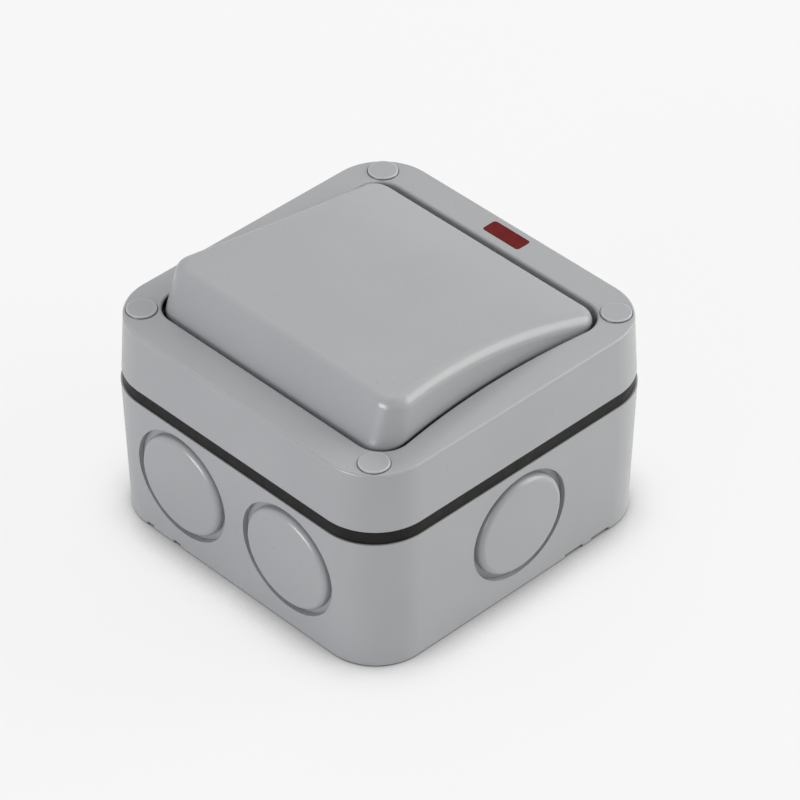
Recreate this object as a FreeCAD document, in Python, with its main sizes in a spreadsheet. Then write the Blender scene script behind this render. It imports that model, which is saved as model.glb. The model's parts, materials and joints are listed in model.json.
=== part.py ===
"""Outdoor weatherproof switch for surface mounting, lying on its back.

Frame: millimetres, origin at the centre of the back face, +Z out of the wall,
+Y towards the indicator window, +X to the right of somebody facing the switch.
"""
import FreeCAD, Part
import math
import os
import re
import Sketcher
from FreeCAD import Placement, Rotation, Vector

os.makedirs("parts", exist_ok=True)
document = FreeCAD.newDocument("OutdoorSwitch")

# Driving dimensions

SIZES = {
    # Enclosure outline
    "box_ledge": 0.2,
    "box_height": 34.9,
    "box_draft": 1.65,
    "outer_corner": 13.8,
    "box_wall": 2.4,
    "box_floor": 2.6,
    "gasket_height": 3.35,
    "gasket_width": 2.5,
    "cover_half": 43.5,
    "cover_height": 14.6,
    "cover_draft": 3.3,
    "cover_wall": 2.4,
    "cover_plate": 2.8,
    "cover_edge_round": 0.6,
    "seat_gap": 0.1,
    # Corner fixings
    "screw_inset": 7.5,
    "pillar_radius": 4.1,
    "post_radius": 4.0,
    "thread_gap": 0.03,
    "pilot_spare": 1.2,
    "screw_radius": 1.75,
    "screw_clearance": 0.35,
    "screw_length": 32.0,
    "head_radius": 3.0,
    "head_height": 2.2,
    "head_depth": 3.4,
    "slot_width": 0.9,
    "slot_depth": 1.0,
    "seal_height": 1.0,
    "cap_radius": 3.5,
    "cap_proud": 0.45,
    "cap_height": 1.8,
    "cap_stem_radius": 2.2,
    "cap_gap": 0.1,
    # Cable knock-outs
    "knockout_above": 2.0,
    "knockout_below": 5.25,
    "knockout_web": 5.7,
    "knockout_moat": 1.5,
    "knockout_proud": 0.75,
    "knockout_depth": 1.4,
    "knockout_round": 1.4,
    # Back of the box
    "wall_hole_inset": 18.5,
    "wall_hole_radius": 2.4,
    "wall_pad_radius": 5.5,
    "wall_pad_height": 1.2,
    "notch_height": 1.1,
    "notch_depth": 4.5,
    "notch_wide": 5.6,
    "notch_narrow": 2.3,
    "notch_front_inset": 15.4,
    "notch_front_step": 8.7,
    "notch_side_inset": 17.7,
    "notch_side_step": 8.2,
    # Rocker opening and well
    "side_rim": 9.7,
    "end_rim": 9.4,
    "opening_corner": 6.5,
    "opening_round": 0.7,
    "waist_radius": 183.0,
    "waist_shift": 0.5,
    "well_wall": 2.0,
    "sump_drop": 3.2,
    "well_floor": 2.0,
    "sump_half_x": 20.0,
    "sump_margin": 3.0,
    "sump_corner": 4.0,
    "pivot_depth": 6.3,
    "pivot_shift": 0.2,
    # Rocker
    "rocker_gap": 0.5,
    "rocker_corner_gap": 0.8,
    "rocker_top_corner": 4.4,
    "rocker_end_gap": 0.4,
    "rocker_rest_tilt": 8.6,
    "rocker_stop_gap": 0.3,
    "rocker_skirt": 1.0,
    "rocker_loft": 16.0,
    "rocker_end_draft": 3.1,
    "rocker_side_draft": 0.7,
    "rocker_crown": 13.95,
    "rocker_crown_radius": 240.0,
    "rocker_wall": 2.2,
    "rocker_edge_round": 2.8,
    "fork_half": 4.5,
    "fork_width_half": 3.5,
    "fork_lap": 1.5,
    "fork_slot_depth": 6.5,
    "pin_radius": 1.5,
    "pin_length": 6.5,
    "pin_proud": 0.3,
    "pin_boss_radius": 3.6,
    "pin_boss_length": 4.0,
    "pin_running_gap": 0.05,
    # Boot
    "boot_flange": 1.5,
    "boot_radius": 9.5,
    "boot_neck_radius": 5.2,
    "boot_clearance": 1.0,
    "boot_skin": 1.0,
    "well_hole_radius": 5.6,
    # Switch module
    "module_half_x": 20.0,
    "module_half_y": 16.0,
    "module_height": 19.5,
    "module_cap": 2.8,
    "module_wall": 1.6,
    "module_floor": 2.0,
    "ear_reach": 24.0,
    "ear_half": 4.5,
    "ear_hole_y": 20.0,
    "boss_radius": 3.5,
    "boss_pilot_depth": 2.9,
    "module_corner": 2.0,
    "cap_hole_half_y": 4.2,
    "case_screw_y": 10.2,
    "case_screw_bite": 1.9,
    "chamber_half_x": 6.4,
    "chamber_half_y": 13.0,
    "divider": 2.0,
    "side_chamber_depth": 10.0,
    "common_half_y": 5.2,
    "line_near_y": 4.2,
    "line_far_y": 14.4,
    "wire_entry_radius": 2.2,
    "module_screw_radius": 1.4,
    "module_screw_head": 2.6,
    "module_screw_head_height": 1.8,
    # Toggle
    "toggle_ball": 2.5,
    "toggle_stem": 2.0,
    "toggle_hub": 2.7,
    "toggle_side_gap": 0.4,
    "toggle_axle": 1.5,
    "toggle_axle_length": 17.2,
    "barrel_radius": 3.0,
    "barrel_bore": 2.1,
    "barrel_length": 9.0,
    "barrel_roof": 2.0,
    "plunger_radius": 1.9,
    "plunger_reach": 12.5,
    "plunger_length": 6.0,
    "spring_wire": 0.4,
    "spring_radius": 1.45,
    "spring_turns": 4.0,
    # Contacts
    "strip_thickness": 1.0,
    "blade_half_length": 11.0,
    "blade_half_width": 2.5,
    "blade_thickness": 1.0,
    "blade_corner": 1.5,
    "blade_travel": 6.0,
    "button_radius": 2.0,
    "button_height": 0.8,
    "button_y": 9.0,
    "contact_gap": 0.12,
    "cheek_gap": 0.4,
    "cheek_rise": 1.6,
    "knife_half": 2.2,
    "terminal_half": 4.0,
    "terminal_height": 8.0,
    "terminal_x": 13.4,
    "wire_hole_radius": 1.9,
    "terminal_screw_radius": 1.7,
    "terminal_screw_head": 2.5,
    "terminal_head_height": 1.6,
    # Earth terminal
    "earth_gap": 2.5,
    "earth_half": 4.0,
    "earth_height": 9.0,
    "earth_wire_level": 3.6,
    "earth_rim": 1.0,
    "earth_rim_height": 1.5,
    # Indicator
    "window_half_x": 5.5,
    "window_half_y": 2.1,
    "window_corner": 0.8,
    "window_inset": 4.7,
    "window_flange": 0.7,
    "window_flange_height": 1.2,
    "window_flange_inset": 0.5,
    "lamp_radius": 1.8,
    "lamp_length": 11.0,
    "lamp_drop": 4.2,
    "lamp_shift": 0.3,
    "clip_half": 0.6,
    "clip_x": 3.2,
    "clip_mouth": 1.6,
    "clip_drop": 1.1,
    "lead_radius": 0.6,
    "lead_x": 15.0,
    "lead_drop": 12.5,
    "lead_run": 7.0,
    "lead_grip": 4.0,
    "resistor_radius": 1.5,
    "resistor_length": 8.0,
    "resistor_drop": 4.3,
    # Length of a cut that has to go right through
    "through": 180.0,
}

# Sizes that follow from the ones above

FOLLOWING = {
    "box_top_half": "cover_half + box_ledge",
    "screw_spread": "cover_half - screw_inset",
    "screw_seat": "gasket_height + cover_height - head_depth - head_height + seal_height",
    "pilot_depth": "screw_length - screw_seat + pilot_spare",
    "knockout_radius": "(box_height - knockout_above - knockout_below) / 2 - knockout_moat",
    "knockout_height": "(box_height - knockout_above + knockout_below) / 2",
    "knockout_offset": "knockout_radius + knockout_moat + knockout_web / 2",
    "wall_hole_half": "cover_half - wall_hole_inset",
    "notch_front_far": "box_top_half - notch_front_inset",
    "notch_front_near": "notch_front_far - notch_front_step",
    "notch_side_far": "box_top_half - notch_side_inset",
    "notch_side_near": "notch_side_far - notch_side_step",
    "opening_waist": "cover_half - side_rim",
    "opening_length_half": "cover_half - end_rim",
    "rocker_half_y": "opening_length_half - rocker_end_gap",
    "pivot_height": "box_height + gasket_height + cover_height - pivot_depth",
    "well_floor_top": "box_height + gasket_height - sump_drop",
    "sump_half_y": "ear_hole_y + sump_margin",
    "earth_x": "module_half_x + earth_gap + earth_rim + earth_half",
    "window_y": "cover_half - window_inset",
    "lead_reach": "module_half_x + lead_run",
    "lead_end": "module_half_x - lead_grip",
}

dims = document.addObject("Spreadsheet::Sheet", "Dims")
CELLS = dict(SIZES)
CELLS.update((alias, "=" + text) for alias, text in FOLLOWING.items())
for row, (alias, content) in enumerate(CELLS.items(), start=1):
    dims.set("A%d" % row, alias)
    dims.set("B%d" % row, str(content))
    dims.setAlias("B%d" % row, alias)
document.recompute()

NEAR = 0.01
TINY = 1e-6
WORD = re.compile(r"[A-Za-z_][A-Za-z0-9_]*")


def formula(text):
    """Point each size named in a formula at its cell of the sheet."""
    return WORD.sub(lambda m: "Dims." + m.group() if m.group() in CELLS else m.group(), str(text))


def value(text):
    """The number that a formula gives now."""
    return float(dims.evalExpression(formula(text)))


def bind(item, prop, text):
    item.setExpression(prop, formula(text))


# Drawing helpers


def new_body(name):
    body = document.addObject("PartDesign::Body", name)
    body.Label = name
    return body


def place(item, x="0", y="0", z="0", tilt=None):
    """Put a finished piece at x, y, z, turned by tilt degrees about X."""
    item.Placement = Placement(Vector(), Rotation(Vector(1, 0, 0), 1))
    bind(item, "Placement.Rotation.Angle", tilt or "0")
    for axis, text in zip("xyz", (x, y, z)):
        bind(item, "Placement.Base." + axis, text)


def new_sketch(body, name, plane="XY_Plane", at=("0", "0", "0"), turn=None):
    """Sketch on an origin plane of the body, moved by at in the plane's own directions."""
    sketch = body.newObject("Sketcher::SketchObject", name)
    origin_plane = next(item for item in body.Origin.OriginFeatures if item.Role == plane)
    sketch.AttachmentSupport = [(origin_plane, "")]
    sketch.MapMode = "FlatFace"
    if turn:
        sketch.AttachmentOffset = Placement(Vector(), Rotation(Vector(0, 0, 1), 1))
        bind(sketch, "AttachmentOffset.Rotation.Angle", turn)
    for axis, text in zip("xyz", at):
        bind(sketch, "AttachmentOffset.Base." + axis, text)
    return sketch


def dimension(sketch, kind, references, text):
    index = sketch.addConstraint(Sketcher.Constraint(kind, *references, value(text)))
    bind(sketch, "Constraints[%d]" % index, text)


def pin(sketch, geometry, point, x, y):
    """Fix one point of a sketch at the formulas x and y."""
    for kind, text, axis in (("DistanceX", x, -2), ("DistanceY", y, -1)):
        number = value(text)
        if abs(number) < TINY:
            sketch.addConstraint(Sketcher.Constraint("PointOnObject", geometry, point, axis))
        elif number > 0:
            dimension(sketch, kind, (-1, 1, geometry, point), text)
        else:
            dimension(sketch, kind, (geometry, point, -1, 1), "-(%s)" % text)


def circle(sketch, radius, x="0", y="0"):
    centre = Vector(value(x), value(y), 0)
    index = sketch.addGeometry(Part.Circle(centre, Vector(0, 0, 1), value(radius)))
    dimension(sketch, "Radius", (index,), radius)
    pin(sketch, index, 3, x, y)


def polygon(sketch, points):
    corners = [Vector(value(x), value(y), 0) for x, y in points]
    count = len(corners)
    first = sketch.GeometryCount
    for i in range(count):
        sketch.addGeometry(Part.LineSegment(corners[i], corners[(i + 1) % count]))
    for i, (x, y) in enumerate(points):
        sketch.addConstraint(Sketcher.Constraint("Coincident", first + i - 1 if i else first + count - 1, 2,
                                                 first + i, 1))
        pin(sketch, first + i, 1, x, y)


def rectangle(sketch, half_x, half_y, x="0", y="0"):
    low_x, high_x = "%s - (%s)" % (x, half_x), "%s + %s" % (x, half_x)
    low_y, high_y = "%s - (%s)" % (y, half_y), "%s + %s" % (y, half_y)
    polygon(sketch, [(low_x, low_y), (high_x, low_y), (high_x, high_y), (low_x, high_y)])


def arc(centre, radius, start, end):
    round_shape = Part.Circle(Vector(*centre, 0), Vector(0, 0, 1), radius)
    return Part.ArcOfCircle(round_shape, math.radians(start), math.radians(end))


def join_smoothly(sketch, first, first_end, second, second_end):
    sketch.addConstraint(Sketcher.Constraint("Tangent", first, first_end, second, second_end))


def corner_arcs(sketch, half_x, half_y, corner):
    """Four equal corner arcs of a rectangle, anticlockwise from the one at +X -Y."""
    reach_x, reach_y = "(%s) - (%s)" % (half_x, corner), "(%s) - (%s)" % (half_y, corner)
    arcs = []
    for quarter, (sign_x, sign_y) in enumerate((("", "-"), ("", ""), ("-", ""), ("-", "-"))):
        x, y = "%s(%s)" % (sign_x, reach_x), "%s(%s)" % (sign_y, reach_y)
        start = 90 * (quarter - 1)
        arcs.append(sketch.addGeometry(arc((value(x), value(y)), value(corner), start, start + 90)))
        pin(sketch, arcs[-1], 3, x, y)
        if quarter:
            sketch.addConstraint(Sketcher.Constraint("Equal", arcs[0], arcs[-1]))
    dimension(sketch, "Radius", (arcs[0],), corner)
    return arcs


def straight_side(sketch, first_arc, second_arc):
    start = sketch.getPoint(first_arc, 2)
    end = sketch.getPoint(second_arc, 1)
    line = sketch.addGeometry(Part.LineSegment(start, end))
    join_smoothly(sketch, first_arc, 2, line, 1)
    join_smoothly(sketch, line, 2, second_arc, 1)


def rounded_rectangle(sketch, half_x, half_y, corner):
    arcs = corner_arcs(sketch, half_x, half_y, corner)
    for i in range(4):
        straight_side(sketch, arcs[i], arcs[(i + 1) % 4])


def waisted_outline(sketch, waist, half_y, corner, bow, shift):
    """Straight ends, and sides that bow in to the waist, with each corner tangent to both."""
    narrow, small, big, middle = value(waist), value(corner), value(bow), value(shift)
    reach = value(half_y) - small
    low, high = (math.asin((middle - level) / (big + small)) for level in (-reach, reach))
    low_x, high_x = (narrow + big - (big + small) * math.cos(lean) for lean in (low, high))
    low, high = math.degrees(low), math.degrees(high)
    shapes = [arc((low_x, -reach), small, 270, 360 + low), arc((high_x, reach), small, high, 90),
              arc((-high_x, reach), small, 90, 180 - high), arc((-low_x, -reach), small, 180 - low, 270)]
    corners = [sketch.addGeometry(shape) for shape in shapes]
    right = sketch.addGeometry(arc((narrow + big, middle), big, 180 + high, 180 + low))
    left = sketch.addGeometry(arc((-narrow - big, middle), big, -low, -high))
    join_smoothly(sketch, corners[0], 2, right, 2)
    join_smoothly(sketch, right, 1, corners[1], 1)
    straight_side(sketch, corners[1], corners[2])
    join_smoothly(sketch, corners[2], 2, left, 2)
    join_smoothly(sketch, left, 1, corners[3], 1)
    straight_side(sketch, corners[3], corners[0])
    for other in corners[1:]:
        sketch.addConstraint(Sketcher.Constraint("Equal", corners[0], other))
    sketch.addConstraint(Sketcher.Constraint("Equal", right, left))
    dimension(sketch, "Radius", (corners[0],), corner)
    dimension(sketch, "Radius", (right,), bow)
    pin(sketch, right, 3, "(%s) + (%s)" % (waist, bow), shift)
    pin(sketch, left, 3, "-(%s) - (%s)" % (waist, bow), shift)
    rise = "(%s) - (%s)" % (half_y, corner)
    for corner_arc, is_low in zip(corners, (True, False, False, True)):
        ends = (corner_arc, 3, -1, 1) if is_low else (-1, 1, corner_arc, 3)
        dimension(sketch, "DistanceY", ends, rise)


# Feature helpers


def add_feature(body, kind, sketch, length=None, both_ways=False, draft=None, backwards=False):
    feature = body.newObject("PartDesign::" + kind, sketch.Name + kind)
    feature.Profile = sketch
    if both_ways:
        feature.SideType = "Symmetric"
    feature.Reversed = backwards
    bind(feature, "Length", length)
    if draft:
        bind(feature, "TaperAngle", draft)
    document.recompute()
    return feature


def pad(body, sketch, length, both_ways=False, draft=None, downward=False):
    return add_feature(body, "Pad", sketch, length, both_ways, draft, downward)


def cut(body, sketch, length, both_ways=False, draft=None, downward=False):
    """Pocket that has to take material away, upward unless told otherwise."""
    before = body.Shape.Volume
    feature = add_feature(body, "Pocket", sketch, length, both_ways, draft, not downward)
    if body.Shape.Volume > before - TINY:
        raise RuntimeError("%s cuts nothing" % feature.Name)
    return feature


def revolve(body, kind, sketch, axis):
    feature = body.newObject("PartDesign::" + kind, sketch.Name + kind)
    feature.Profile = sketch
    feature.ReferenceAxis = (sketch, [axis])
    feature.Angle = 360
    document.recompute()
    return feature


def dress_edges(body, kind, prop, size, chosen):
    """Fillet or chamfer the edges of the body's last feature for which chosen(edge) is true."""
    base = body.Tip
    names = ["Edge%d" % (i + 1) for i, edge in enumerate(base.Shape.Edges) if chosen(edge)]
    if not names:
        raise RuntimeError("no edge to dress on " + body.Label)
    feature = body.newObject("PartDesign::" + kind, body.Name + "%s%d" % (kind, len(body.Group)))
    feature.Base = (base, names)
    bind(feature, prop, size)
    document.recompute()


def round_edges(body, radius, chosen):
    dress_edges(body, "Fillet", "Radius", radius, chosen)


def bevel_edges(body, size, chosen):
    dress_edges(body, "Chamfer", "Size", size, chosen)


def level_edge(edge, height):
    box = edge.BoundBox
    return abs(box.ZMin - height) < NEAR and abs(box.ZMax - height) < NEAR


def disc(body, name, radius, low, height, x="0", y="0"):
    sketch = new_sketch(body, name, at=("0", "0", low))
    circle(sketch, radius, x, y)
    return pad(body, sketch, height)


def drill(body, name, radius, low, height, x="0", y="0"):
    sketch = new_sketch(body, name, at=("0", "0", low))
    circle(sketch, radius, x, y)
    return cut(body, sketch, height)


def block(body, name, half_x, half_y, low, height, x="0", y="0"):
    sketch = new_sketch(body, name, at=("0", "0", low))
    rectangle(sketch, half_x, half_y, x, y)
    return pad(body, sketch, height)


def hollow(body, name, half_x, half_y, low, height, x="0", y="0"):
    sketch = new_sketch(body, name, at=("0", "0", low))
    rectangle(sketch, half_x, half_y, x, y)
    return cut(body, sketch, height)


def corner_places(half):
    return [("(%s)" % half, "(%s)" % half), ("-(%s)" % half, "(%s)" % half),
            ("-(%s)" % half, "-(%s)" % half), ("(%s)" % half, "-(%s)" % half)]


def discs(body, name, radius, low, height, places):
    sketch = new_sketch(body, name, at=("0", "0", low))
    for x, y in places:
        circle(sketch, radius, x, y)
    return pad(body, sketch, height)


def drills(body, name, radius, low, height, places):
    sketch = new_sketch(body, name, at=("0", "0", low))
    for x, y in places:
        circle(sketch, radius, x, y)
    return cut(body, sketch, height)


def loft(body, kind, low_sketch, high_sketch):
    feature = body.newObject("PartDesign::" + kind, low_sketch.Name + "Loft")
    feature.Profile = low_sketch
    feature.Sections = [high_sketch]
    feature.Ruled = True
    document.recompute()
    return feature


# Heights and places that several pieces share

COVER_LOW = "(box_height + gasket_height)"
COVER_TOP = "(box_height + gasket_height + cover_height)"
PLATE_LOW = "(%s - cover_plate)" % COVER_TOP
WELL_LOW = "(well_floor_top - well_floor)"
LEDGE = ("(pivot_height - rocker_half_y * sin(rocker_rest_tilt * 1deg)"
         " - rocker_skirt * cos(rocker_rest_tilt * 1deg) - rocker_stop_gap)")
CAP_TOP = "(%s - boot_flange)" % WELL_LOW
CAP_LOW = "(%s - module_cap)" % CAP_TOP
MODULE_LOW = "(%s - module_height)" % CAP_LOW
CHAMBER_LOW = "(%s + module_floor)" % MODULE_LOW
TOGGLE_LEVER = "((pivot_height - %s) / 2)" % CAP_LOW
BOOT_HEIGHT = "(%s - fork_lap - module_cap - boot_clearance)" % TOGGLE_LEVER
BLADE_PIVOT = "(%s - plunger_reach - contact_gap - blade_thickness)" % CAP_LOW
CAP_SEAT = "(%s + cap_proud - cap_height)" % COVER_TOP
HEAD_SEAT = "(%s - head_depth - head_height)" % COVER_TOP
SCREW_PLACES = corner_places("screw_spread")
SCREW_HOLE = "screw_radius + screw_clearance"
WIRE_LEVEL = "(%s + terminal_height / 2 + strip_thickness / 2)" % CHAMBER_LOW
CASE_SCREW_PLACES = [("terminal_x", "pivot_shift"),
                     ("-terminal_x", "pivot_shift + case_screw_y"),
                     ("-terminal_x", "pivot_shift - case_screw_y")]
TERMINAL_PLACES = [("-terminal_x", "pivot_shift"),
                   ("terminal_x", "pivot_shift + button_y"),
                   ("terminal_x", "pivot_shift - button_y")]
EAR_PLACES = [("0", "pivot_shift + ear_hole_y"), ("0", "pivot_shift - ear_hole_y")]
LAMP_Y = "(window_y - lamp_shift)"
LAMP_LEVEL = "(%s - lamp_drop)" % PLATE_LOW


# Back box


def knockout(body, name, plane, offset, sign):
    """Proud disc in a ring-shaped moat, square to the leaning wall."""
    wall = "(box_top_half - (box_height - knockout_height) * tan(box_draft * 1deg))"
    turn = "box_draft" if sign < 0 else "180 - box_draft"
    across = "-" + wall if sign < 0 else wall
    place_at = (across, "knockout_height", offset)
    disc_face = new_sketch(body, name + "Disc", plane, place_at, turn)
    rectangle(disc_face, "(knockout_proud + knockout_depth) / 2", "knockout_radius / 2",
              "(knockout_depth - knockout_proud) / 2", "knockout_radius / 2")
    revolve(body, "Revolution", disc_face, "H_Axis")
    sketch = new_sketch(body, name, plane, place_at, turn)
    low, high = value("knockout_radius"), value("knockout_radius + knockout_moat")
    edge, depth, outside = value("knockout_round"), value("knockout_depth"), -value("box_wall")
    proud = value("knockout_proud")
    points = [Vector(outside, low - edge, 0), Vector(outside, high, 0), Vector(depth, high, 0),
              Vector(depth, low, 0), Vector(edge - proud, low, 0), Vector(-proud, low - edge, 0)]
    lines = [sketch.addGeometry(Part.LineSegment(points[i], points[i + 1])) for i in range(4)]
    bend = sketch.addGeometry(arc((edge - proud, low - edge), edge, 90, 180))
    back = sketch.addGeometry(Part.LineSegment(points[5], points[0]))
    for first, second in zip(lines, lines[1:]):
        sketch.addConstraint(Sketcher.Constraint("Coincident", first, 2, second, 1))
    sketch.addConstraint(Sketcher.Constraint("Coincident", lines[3], 2, bend, 1))
    sketch.addConstraint(Sketcher.Constraint("Coincident", bend, 2, back, 1))
    sketch.addConstraint(Sketcher.Constraint("Coincident", back, 2, lines[0], 1))
    pin(sketch, lines[0], 1, "-box_wall", "knockout_radius - knockout_round")
    pin(sketch, lines[1], 1, "-box_wall", "knockout_radius + knockout_moat")
    pin(sketch, lines[2], 1, "knockout_depth", "knockout_radius + knockout_moat")
    pin(sketch, lines[3], 1, "knockout_depth", "knockout_radius")
    pin(sketch, bend, 3, "knockout_round - knockout_proud", "knockout_radius - knockout_round")
    dimension(sketch, "Radius", (bend,), "knockout_round")
    sketch.addConstraint(Sketcher.Constraint("Vertical", bend, 1, bend, 3))
    sketch.addConstraint(Sketcher.Constraint("Horizontal", bend, 2, bend, 3))
    revolve(body, "Groove", sketch, "H_Axis")


def make_back_box():
    body = new_body("back_box")
    outside = new_sketch(body, "BoxOutline", at=("0", "0", "box_height"))
    rounded_rectangle(outside, "box_top_half", "box_top_half", "outer_corner")
    pad(body, outside, "box_height", draft="-box_draft", downward=True)
    round_edges(body, "cover_edge_round", lambda edge: level_edge(edge, 0))
    inside = new_sketch(body, "BoxInside", at=("0", "0", "box_height"))
    inner_half = "box_top_half - box_wall"
    rounded_rectangle(inside, inner_half, inner_half, "outer_corner - box_wall")
    cut(body, inside, "box_height - box_floor", draft="-box_draft", downward=True)
    half_floor = "box_floor / 2"
    discs(body, "ScrewPillars", "pillar_radius", half_floor, "box_height - box_floor / 2", SCREW_PLACES)
    drills(body, "ScrewPilots", "screw_radius + thread_gap", "box_height - pilot_depth", "pilot_depth",
           SCREW_PLACES)
    wall_places = corner_places("wall_hole_half")
    discs(body, "WallPads", "wall_pad_radius", half_floor, "box_floor / 2 + wall_pad_height", wall_places)
    drills(body, "WallHoles", "wall_hole_radius", "0", "box_floor + wall_pad_height", wall_places)
    for end, sign in (("Minus", -1), ("Plus", 1)):
        knockout(body, "Knockout%sLeft" % end, "YZ_Plane", "-knockout_offset", sign)
        knockout(body, "Knockout%sRight" % end, "YZ_Plane", "knockout_offset", sign)
        knockout(body, "KnockoutSide%s" % end, "XZ_Plane", "0", sign)
    bottom_half = "(box_top_half - box_height * tan(box_draft * 1deg))"
    notches = new_sketch(body, "LugNotches")
    for sign in ("-", ""):
        for along in ("notch_front_far", "notch_front_near"):
            rectangle(notches, "notch_narrow / 2", "notch_depth", sign + along, sign + bottom_half)
        for along in ("notch_side_far", "notch_side_near"):
            rectangle(notches, "notch_depth", "notch_wide / 2", sign + bottom_half, sign + along)
    cut(body, notches, "notch_height")
    rim_half = "earth_half + earth_rim"
    block(body, "EarthRim", rim_half, rim_half, half_floor, "box_floor / 2 + earth_rim_height", "earth_x")
    hollow(body, "EarthSocket", "earth_half", "earth_half", "box_floor", "earth_rim_height", "earth_x")
    return body


# Gasket between box and cover


def make_box_gasket():
    body = new_body("box_gasket")
    outline = new_sketch(body, "GasketOutline", at=("0", "0", "box_height"))
    rounded_rectangle(outline, "cover_half - seat_gap", "cover_half - seat_gap", "outer_corner")
    pad(body, outline, "gasket_height")
    inside = new_sketch(body, "GasketInside", at=("0", "0", "box_height"))
    inner_half = "cover_half - seat_gap - gasket_width"
    rounded_rectangle(inside, inner_half, inner_half, "outer_corner - gasket_width")
    cut(body, inside, "gasket_height")
    discs(body, "GasketEyelets", "post_radius", "box_height", "gasket_height", SCREW_PLACES)
    drills(body, "GasketHoles", SCREW_HOLE, "box_height", "gasket_height", SCREW_PLACES)
    return body


# Front cover with the well that the rocker sits in


def well_outline(sketch, margin):
    waisted_outline(sketch, "opening_waist + " + margin, "opening_length_half + " + margin,
                    "opening_corner + " + margin, "waist_radius - " + margin, "waist_shift")


def sump_outline(sketch, margin):
    """Deeper middle of the well, where the rocker's fork reaches the toggle."""
    rounded_rectangle(sketch, "sump_half_x + " + margin, "sump_half_y + " + margin,
                      "sump_corner + " + margin)


def make_front_cover():
    body = new_body("front_cover")
    outside = new_sketch(body, "CoverOutline", at=("0", "0", COVER_LOW))
    rounded_rectangle(outside, "cover_half", "cover_half", "outer_corner")
    pad(body, outside, "cover_height", draft="-cover_draft")
    round_edges(body, "cover_edge_round", lambda edge: level_edge(edge, value(COVER_TOP)))
    inside = new_sketch(body, "CoverInside", at=("0", "0", COVER_LOW))
    inner_half = "cover_half - cover_wall"
    rounded_rectangle(inside, inner_half, inner_half, "outer_corner - cover_wall")
    cut(body, inside, "cover_height - cover_plate", draft="-cover_draft")
    discs(body, "CoverPosts", "post_radius", COVER_LOW, "cover_height - cover_plate / 2", SCREW_PLACES)
    well = new_sketch(body, "WellOutline", at=("0", "pivot_shift", COVER_LOW))
    well_outline(well, "well_wall")
    pad(body, well, "%s - %s + cover_plate / 2" % (PLATE_LOW, COVER_LOW))
    sump = new_sketch(body, "SumpOutline", at=("0", "pivot_shift", WELL_LOW))
    sump_outline(sump, "well_wall")
    pad(body, sump, "%s - %s" % (LEDGE, WELL_LOW))
    discs(body, "ModuleBosses", "boss_radius", CAP_TOP, "boot_flange + well_floor / 2", EAR_PLACES)
    drills(body, "ModulePilots", "module_screw_radius + thread_gap", CAP_TOP, "boss_pilot_depth", EAR_PLACES)
    opening = new_sketch(body, "WellInside", at=("0", "pivot_shift", LEDGE))
    well_outline(opening, "0")
    cut(body, opening, "%s - %s" % (COVER_TOP, LEDGE))
    round_edges(body, "opening_round", is_opening_edge)
    pocket = new_sketch(body, "SumpInside", at=("0", "pivot_shift", "well_floor_top"))
    sump_outline(pocket, "0")
    cut(body, pocket, "%s - well_floor_top" % LEDGE)
    drill(body, "StemHole", "well_hole_radius", WELL_LOW, "well_floor", "0", "pivot_shift")
    pins = new_sketch(body, "PinHoles", "YZ_Plane", ("pivot_shift", "pivot_height", "0"))
    circle(pins, "pin_radius")
    cut(body, pins, "2 * (opening_waist + 2 * well_wall)", both_ways=True)
    drills(body, "CapRecesses", "cap_radius + cap_gap", CAP_SEAT, "cap_height", SCREW_PLACES)
    head_room = "head_depth + head_height"
    drills(body, "HeadRecesses", "head_radius + cap_gap", HEAD_SEAT, head_room, SCREW_PLACES)
    drills(body, "ScrewHoles", SCREW_HOLE, COVER_LOW, "cover_height", SCREW_PLACES)
    window = new_sketch(body, "WindowHole", at=("0", "window_y", PLATE_LOW))
    rounded_rectangle(window, "window_half_x", "window_half_y", "window_corner")
    cut(body, window, "cover_plate")
    lamp_clips(body)
    return body


def lamp_clips(body):
    """Two ribs between well and skirt, with open sockets that the lamp snaps into from below."""
    reach = "(cover_half - cover_wall / 2 - %s)" % LAMP_Y
    low = "%s - clip_drop" % LAMP_LEVEL
    height = "%s - window_flange_height - seat_gap - (%s)" % (PLATE_LOW, low)
    ribs = new_sketch(body, "LampRibs", at=("0", "0", low))
    for x in ("clip_x", "-clip_x"):
        rectangle(ribs, "clip_half", reach, x, LAMP_Y)
    pad(body, ribs, height)
    socket = new_sketch(body, "LampSockets", "YZ_Plane", (LAMP_Y, LAMP_LEVEL, "0"))
    circle(socket, "lamp_radius + thread_gap")
    cut(body, socket, "2 * (clip_x + 2 * clip_half)", both_ways=True)
    hollow(body, "LampMouths", "clip_x + 2 * clip_half", "clip_mouth", low, "clip_drop", "0", LAMP_Y)


def is_opening_edge(edge):
    """True for the top edges of the rocker opening."""
    if not level_edge(edge, value(COVER_TOP)):
        return False
    middle = edge.valueAt((edge.FirstParameter + edge.LastParameter) / 2)
    return max(abs(middle.x), abs(middle.y)) < value("cover_half - end_rim / 2")


# Indicator window, lamp and leads


def make_indicator_window():
    body = new_body("indicator_window")
    plug = new_sketch(body, "WindowPlug", at=("0", "window_y", PLATE_LOW))
    rounded_rectangle(plug, "window_half_x - seat_gap", "window_half_y - seat_gap",
                      "window_corner - seat_gap")
    pad(body, plug, "cover_plate")
    block(body, "WindowFlange", "window_half_x + window_flange", "window_half_y - window_flange_inset",
          "%s - window_flange_height" % PLATE_LOW, "window_flange_height", "0", "window_y")
    return body


# Rocker, drawn level about its pivot and then tipped to its rest


def rocker_section(body, name, level, inward, half_y, corner):
    sketch = new_sketch(body, name, at=("0", "0", level))
    waisted_outline(sketch, "opening_waist - (%s)" % inward, half_y, corner, "waist_radius + " + inward,
                    "waist_shift")
    return sketch


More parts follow.
